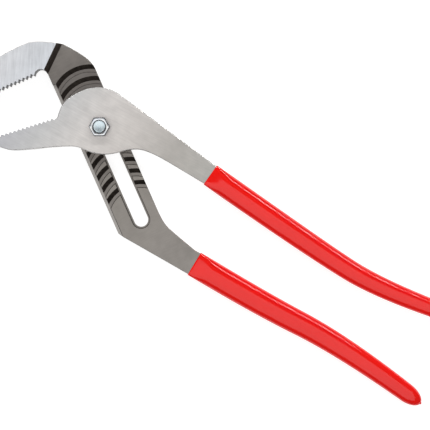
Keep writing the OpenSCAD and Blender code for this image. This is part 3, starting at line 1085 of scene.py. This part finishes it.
@dataclass
class Pivot:
    """The bolt, whose round head lies under the slot, and the nut on top, in mm."""

    bolt_r: float = 4.75
    head_r: float = 10.0
    head_h: float = 5.0
    head_chamfer: float = 1.4
    head_ease: float = 0.3
    hollow_r: float = 4.3
    hollow_h: float = 0.5
    tip_chamfer: float = 0.5
    thread_pitch: float = 1.25
    thread_depth: float = 0.5
    thread_from: float = 18.0
    thread_fade: float = 1.5
    dish: float = 0.3
    nut_w: float = 14.3
    nut_turn: float = 36.0
    nut_round: float = 0.85
    thread_fit: float = 0.05
    sharp_turn: float = 32.0  # a turn of more than this, in degrees, stays an edge
    sides: int = 96

    def __post_init__(self) -> None:
        """Lays the points of every ring evenly round the axis."""
        self.angle = 2 * np.pi * np.arange(self.sides) / self.sides

    def turned(self, profile: list[tuple[np.ndarray | float, np.ndarray | float]]) -> np.ndarray:
        """Turns a profile about Z. A point is (r cos f, r sin f, z) at each angle f.

        Args:
            profile: The radius and level of each ring, as numbers or one for each angle.

        Returns:
            The rings, as levels by points by 3.
        """
        r, z = (np.stack([np.broadcast_to(row[i], self.angle.shape) for row in profile])
                for i in (0, 1))
        return np.stack([r * np.cos(self.angle), r * np.sin(self.angle), z], axis=-1)

    def bolt_mesh(self) -> Mesh:
        """Turns the bolt's profile about Z, with a thread cut in its end.

        The thread's radius is the bolt's less the depth times |2w - 1|, where w is the part
        past the whole number in height / pitch - angle / full turn, so it climbs as a helix.

        Returns:
            The mesh.
        """
        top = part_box("pivot_bolt")[1].z / MM
        tip_r = self.bolt_r - self.tip_chamfer
        rim_r, ease = self.head_r - self.head_chamfer, self.head_ease
        # Head: a shallow hollow in its end, a quarter-round rim, and eased edges
        a = np.linspace(0, np.pi / 2, 6)
        foot = [(self.hollow_r - 0.9, 0.35), (self.hollow_r - 0.2, 0.06), (self.hollow_r, 0.0),
                (rim_r - ease, 0.0)]
        foot += list(zip(rim_r + self.head_chamfer * np.sin(a),
                         self.head_chamfer * (1 - np.cos(a))))
        foot += [(self.head_r, self.head_h - ease), (self.head_r - ease, self.head_h),
                 (self.bolt_r + ease, self.head_h), (self.bolt_r, self.head_h + ease),
                 (self.bolt_r, self.thread_from - 0.5)]
        # Thread, which deepens from nothing and stops at the tip's chamfer
        levels = np.arange(self.thread_from, top - 0.3 * self.tip_chamfer,
                           self.thread_pitch / 10)
        share = levels[:, None] / self.thread_pitch - self.angle / (2 * np.pi)
        wave = np.abs(2 * (share % 1) - 1)
        fade = np.clip((levels - self.thread_from) / self.thread_fade, 0, 1)[:, None]
        crest = np.minimum(self.bolt_r, self.bolt_r + (top - self.tip_chamfer - levels))
        thread_r = np.maximum(crest[:, None] - self.thread_depth * wave * fade, tip_r)
        # Tip: an eased rim, and a dish that is a parabola
        dish_r = np.linspace(tip_r - 0.55, 0.4, 7)
        tip = [(tip_r + 0.05, top - 0.03), (tip_r - 0.1, top), (tip_r - 0.35, top - 0.04)]
        tip += list(zip(dish_r, top - self.dish * (1 - (dish_r / tip_r) ** 2)))
        rings = self.turned([*foot, *zip(thread_r, levels), *tip])
        return rings_mesh(rings, (0, 0, self.hollow_h), (0, 0, top - self.dish))

    def nut_mesh(self) -> Mesh:
        """Builds the nut: rings whose radius is the least of a circle and the hexagon.

        The hexagon's radius at an angle f is the half width over cos(g), with g the angle
        from the nearest flat's middle, and the top of its sides follows the chamfer's cone.

        Returns:
            The mesh.
        """
        low, high = (corner.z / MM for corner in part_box("pivot_nut"))
        half = self.nut_w / 2
        from_flat = (np.degrees(self.angle) - self.nut_turn) % 60 - 30
        hexagon = half / np.cos(np.radians(from_flat))
        round_r = half + self.nut_round
        fall = np.maximum(hexagon - round_r, 0)
        bore = self.bolt_r + self.thread_fit
        rows = [
            # Under side, from the bore out, and its softened rim
            (bore + 0.5, low),
            (half - 0.7, low),
            (np.minimum(hexagon, half - 0.1), low + 0.15),
            (hexagon - 0.12, low + 0.3 + 0.4 * fall),
            # Sides, up to where the corners are chamfered
            (hexagon, low + 0.5 + 0.5 * fall),
            (hexagon, high - 0.35 - fall),
            (hexagon - 0.1, high - 0.18 - fall),
            # Top, from its rim in to the countersink
            (np.minimum(hexagon, round_r) - 0.25, high - 0.06),
            (np.minimum(hexagon, round_r) - 0.4, high),
            (bore + 0.6, high),
            # Countersink and bore
            (bore + 0.5, high - 0.06),
            (bore, high - 1.0),
            (bore, low + 0.5),
        ]
        mesh = rings_mesh(self.turned(rows))
        # Only the under side and the top get the bright zinc; the sides, rim and countersink get
        # the dark zinc, painted shade that draws a dark ring round the nut
        unshaded_rows = np.isin(np.arange(len(rows)), (0, 8))
        mesh.polygons.foreach_set("material_index",
                                  np.repeat(np.where(unshaded_rows, 0, 1), self.sides).astype(np.int32))
        return mesh

    def build(self) -> list[Object]:
        """Makes the bolt and the nut.

        Returns:
            The two pieces.
        """
        bolt = new_piece("bolt_with_thread", self.bolt_mesh(), (BOLT_ZINC,), Body.PIVOT,
                         Slot.PLATED_STEEL, "pivot_bolt")
        nut = new_piece("hex_nut", self.nut_mesh(), (NUT_ZINC, SHADED_ZINC), Body.PIVOT,
                        Slot.PLATED_STEEL, "pivot_nut")
        for piece in (bolt, nut):
            piece.data.set_sharp_from_angle(angle=math.radians(self.sharp_turn))
        return [bolt, nut]


@dataclass(frozen=True)
class Softbox:
    """A rectangular studio light that faces the object, in metres and degrees."""

    name: str
    azimuth: float
    elevation: float
    distance: float
    width: float
    height: float
    radiance: float

    def build(self, target: Vector) -> None:
        """Hangs the light. A light's power is its radiance times its area times pi.

        Args:
            target: The point it faces.
        """
        lamp = bpy.data.lights.new(self.name, "AREA")
        lamp.shape = "RECTANGLE"
        lamp.size, lamp.size_y = self.width, self.height
        lamp.energy = self.radiance * self.width * self.height * math.pi
        a, e = math.radians(self.azimuth), math.radians(self.elevation)
        away = Vector((math.cos(a) * math.cos(e), math.sin(a) * math.cos(e), math.sin(e)))
        placed = bpy.data.objects.new(self.name, lamp)
        placed.location = target + away * self.distance
        placed.rotation_euler = away.to_track_quat("Z", "Y").to_euler()
        bpy.context.scene.collection.objects.link(placed)


@dataclass
class Studio:
    """The floor, the lights and the camera, in metres and degrees."""

    # The view looks straight down, turned so that the handles run down to the right
    view_turn: float = 36.2
    view_centre: tuple[float, float] = (0.1142, -0.0023)
    view_width: float = 0.3397
    view_level: float = 0.016
    view_distance: float = 1.4
    sensor: float = 36.0
    clip: tuple[float, float] = (0.05, 20.0)
    floor_size: float = 6.0
    floor_drop: float = 0.2 * MM
    ambient: float = 0.2

    def build_floor(self) -> None:
        """Lays a pale matte sheet a hair under the tool."""
        half = self.floor_size / 2
        corners = np.array([(-half, -half), (half, -half), (half, half), (-half, half)])
        mesh = bpy.data.meshes.new("floor")
        mesh.from_pydata([(x, y, -self.floor_drop) for x, y in corners], [], [(0, 1, 2, 3)])
        mesh.materials.append(PAPER.material())
        floor = bpy.data.objects.new("floor", mesh)
        bpy.context.scene.collection.objects.link(floor)

    def build_lights(self) -> None:
        """Hangs a large soft light below the handles, a strip above them and a soft fill."""
        target = Vector((*self.view_centre, self.view_level))
        across = self.view_turn - 90
        Softbox("top_softbox", azimuth=across, elevation=74, distance=2.2, width=3.0,
                height=1.9, radiance=1.02).build(target)
        Softbox("strip_light", azimuth=across + 180, elevation=47, distance=1.6, width=2.4,
                height=0.06, radiance=40.0).build(target)
        world = bpy.data.worlds.new("studio")
        world.use_nodes = True
        world.node_tree.nodes.clear()
        fill = add_node(world.node_tree, "ShaderNodeBackground",
                        {"Color": (1.0, 1.0, 1.0, 1.0), "Strength": self.ambient})
        add_node(world.node_tree, "ShaderNodeOutputWorld", {"Surface": fill.outputs[0]})
        bpy.context.scene.world = world

    def build_camera(self) -> None:
        """Hangs the camera over the tool with a long lens."""
        lens = bpy.data.cameras.new("camera")
        lens.sensor_width = self.sensor
        lens.lens = self.sensor * self.view_distance / self.view_width
        lens.clip_start, lens.clip_end = self.clip
        lens.dof.use_dof = False
        camera = bpy.data.objects.new("camera", lens)
        place = Matrix.Translation((*self.view_centre, self.view_level + self.view_distance))
        camera.matrix_world = place @ Matrix.Rotation(math.radians(self.view_turn), 4, "Z")
        bpy.context.scene.collection.objects.link(camera)
        bpy.context.scene.camera = camera

    def build(self) -> None:
        """Sets up the whole studio, with colours shown as they are."""
        self.build_floor()
        self.build_lights()
        self.build_camera()
        bpy.context.scene.view_settings.view_transform = "Standard"


def main() -> None:
    """Builds the studio and each sub-assembly."""
    logging.basicConfig(level=logging.INFO, format="%(name)s: %(message)s")
    Studio().build()
    for assembly in (SlottedHalf(), TonguedHalf(), Pivot()):
        for piece in assembly.build():
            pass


if __name__ == "__main__":
    main()
